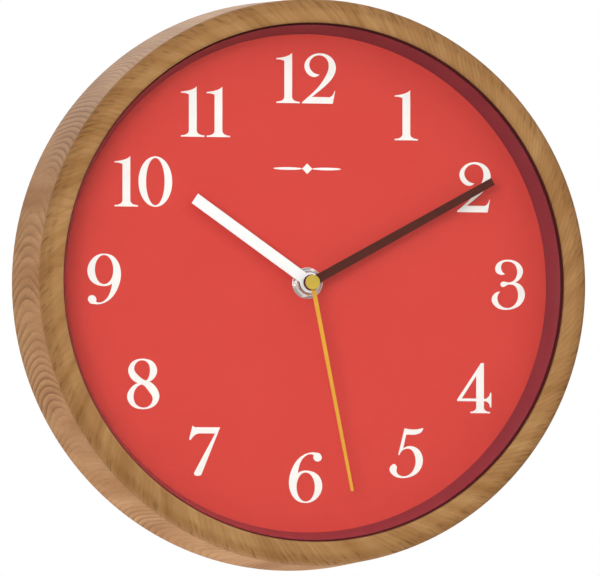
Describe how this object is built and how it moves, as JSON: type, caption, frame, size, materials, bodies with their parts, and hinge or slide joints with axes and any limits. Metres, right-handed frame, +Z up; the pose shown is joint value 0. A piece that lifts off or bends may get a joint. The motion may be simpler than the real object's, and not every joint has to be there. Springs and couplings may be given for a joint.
{
  "type": "wall clock",
  "caption": "Round wall clock with a deep rounded wooden hoop frame, flat glass, red dial with white serif numerals, three plain hands and a rear quartz movement with hanger.",
  "frame": {"origin": "on the hands' axis, in the plane of the frame's rear face, which rests on the wall", "axes": "+Y points into the wall, the dial faces -Y, +Z is up with twelve at the top, +X is towards three"},
  "size_m": [0.25, 0.046, 0.25],
  "materials": {
    "wood": "satin clear coat over open grain",
    "glass": "clear float glass",
    "spacer_plastic": "semi gloss dark red",
    "dial_red": "matt printed paper",
    "numeral_white": "matt print",
    "hardboard": "pressed fibre board",
    "steel": "zinc plated sheet",
    "rubber": "matt",
    "brass": "turned",
    "nickel": "bright plated",
    "hand_white": "satin white lacquer",
    "hand_brown": "satin dark brown lacquer",
    "hand_yellow": "satin yellow lacquer",
    "cap_yellow": "satin",
    "case_black": "fine spark texture",
    "train_plastic": "moulded acetal",
    "train_red": "moulded acetal",
    "magnet": "bonded ferrite",
    "stator_steel": "bare lamination",
    "copper_wire": "enamelled winding wire",
    "circuit_green": "solder mask",
    "chip_black": "epoxy blob",
    "crystal_can": "drawn can",
    "battery_jacket": "plain printed jacket and steel ends"
  },
  "bodies": {
    "case": {"frame_ring": "wood", "lens": "glass", "spacer_ring": "spacer_plastic", "dial_sheet": "dial_red", "dial_numerals": "numeral_white", "dial_board": "hardboard", "retaining_points": "steel", "hanger_plate": "steel", "rubber_washer": "rubber", "threaded_bushing": "brass", "dial_washer": "nickel", "mounting_nut": "nickel", "movement_base": "case_black", "movement_cover": "case_black", "middle_plate": "train_plastic", "stator": "stator_steel", "coil_core": "stator_steel", "coil_bobbin": "train_plastic", "coil_winding": "copper_wire", "circuit_board": "circuit_green", "chip": "chip_black", "quartz_crystal": "crystal_can", "contact_positive": "steel", "contact_negative": "steel"},
    "minute": {"minute_pipe": "train_plastic", "clutch_bush": "brass", "clutch_spring": "steel", "minute_hand": "hand_brown"},
    "hour": {"hour_wheel": "train_plastic", "hour_hand": "hand_white"},
    "motion": {"motion_wheel": "train_plastic"},
    "setting": {"setting_arbor": "train_plastic", "setting_knob": "train_red"},
    "seconds": {"second_wheel": "train_plastic", "second_hand": "hand_yellow", "second_hand_cap": "cap_yellow"},
    "third": {"third_wheel": "train_plastic"},
    "centre": {"centre_wheel": "train_plastic"},
    "intermediate": {"intermediate_wheel": "train_plastic"},
    "rotor": {"rotor": "train_red", "rotor_magnet": "magnet"},
    "battery": {"battery": "battery_jacket"}
  },
  "joints": [
    {"name": "minute_hand_turn", "type": "hinge", "parent": "case", "child": "minute", "pos_m": [0, 0, 0], "axis": [0, 1, 0], "continuous": true},
    {"name": "hour_hand_turn", "type": "hinge", "parent": "case", "child": "hour", "pos_m": [0, 0, 0], "axis": [0, 1, 0], "continuous": true},
    {"name": "motion_turn", "type": "hinge", "parent": "case", "child": "motion", "pos_m": [0.0065, 0, 0.00375], "axis": [0, 1, 0], "continuous": true},
    {"name": "setting_knob_turn", "type": "hinge", "parent": "case", "child": "setting", "pos_m": [0.01025, 0, 0.01025], "axis": [0, 1, 0], "continuous": true},
    {"name": "second_hand_turn", "type": "hinge", "parent": "case", "child": "seconds", "pos_m": [0, 0, 0], "axis": [0, 1, 0], "continuous": true},
    {"name": "third_turn", "type": "hinge", "parent": "case", "child": "third", "pos_m": [-0.00693, 0, 0.004], "axis": [0, 1, 0], "continuous": true},
    {"name": "centre_turn", "type": "hinge", "parent": "case", "child": "centre", "pos_m": [0, 0, 0], "axis": [0, 1, 0], "continuous": true},
    {"name": "intermediate_turn", "type": "hinge", "parent": "case", "child": "intermediate", "pos_m": [0.0021, 0, 0.00783], "axis": [0, 1, 0], "continuous": true},
    {"name": "rotor_turn", "type": "hinge", "parent": "case", "child": "rotor", "pos_m": [0.001, 0, 0.01403], "axis": [0, 1, 0], "continuous": true},
    {"name": "battery_slide", "type": "slide", "parent": "case", "child": "battery", "axis": [0, 1, 0], "range_m": [0, 0.02]}
  ],
  "couplings": [
    {"joint": "motion_turn", "follows": "minute_hand_turn", "ratio": -0.33333},
    {"joint": "hour_hand_turn", "follows": "minute_hand_turn", "ratio": 0.083333},
    {"joint": "setting_knob_turn", "follows": "minute_hand_turn", "ratio": 1},
    {"joint": "third_turn", "follows": "second_hand_turn", "ratio": -0.13333},
    {"joint": "centre_turn", "follows": "second_hand_turn", "ratio": 0.016667},
    {"joint": "intermediate_turn", "follows": "second_hand_turn", "ratio": -5},
    {"joint": "rotor_turn", "follows": "second_hand_turn", "ratio": 30}
  ]
}
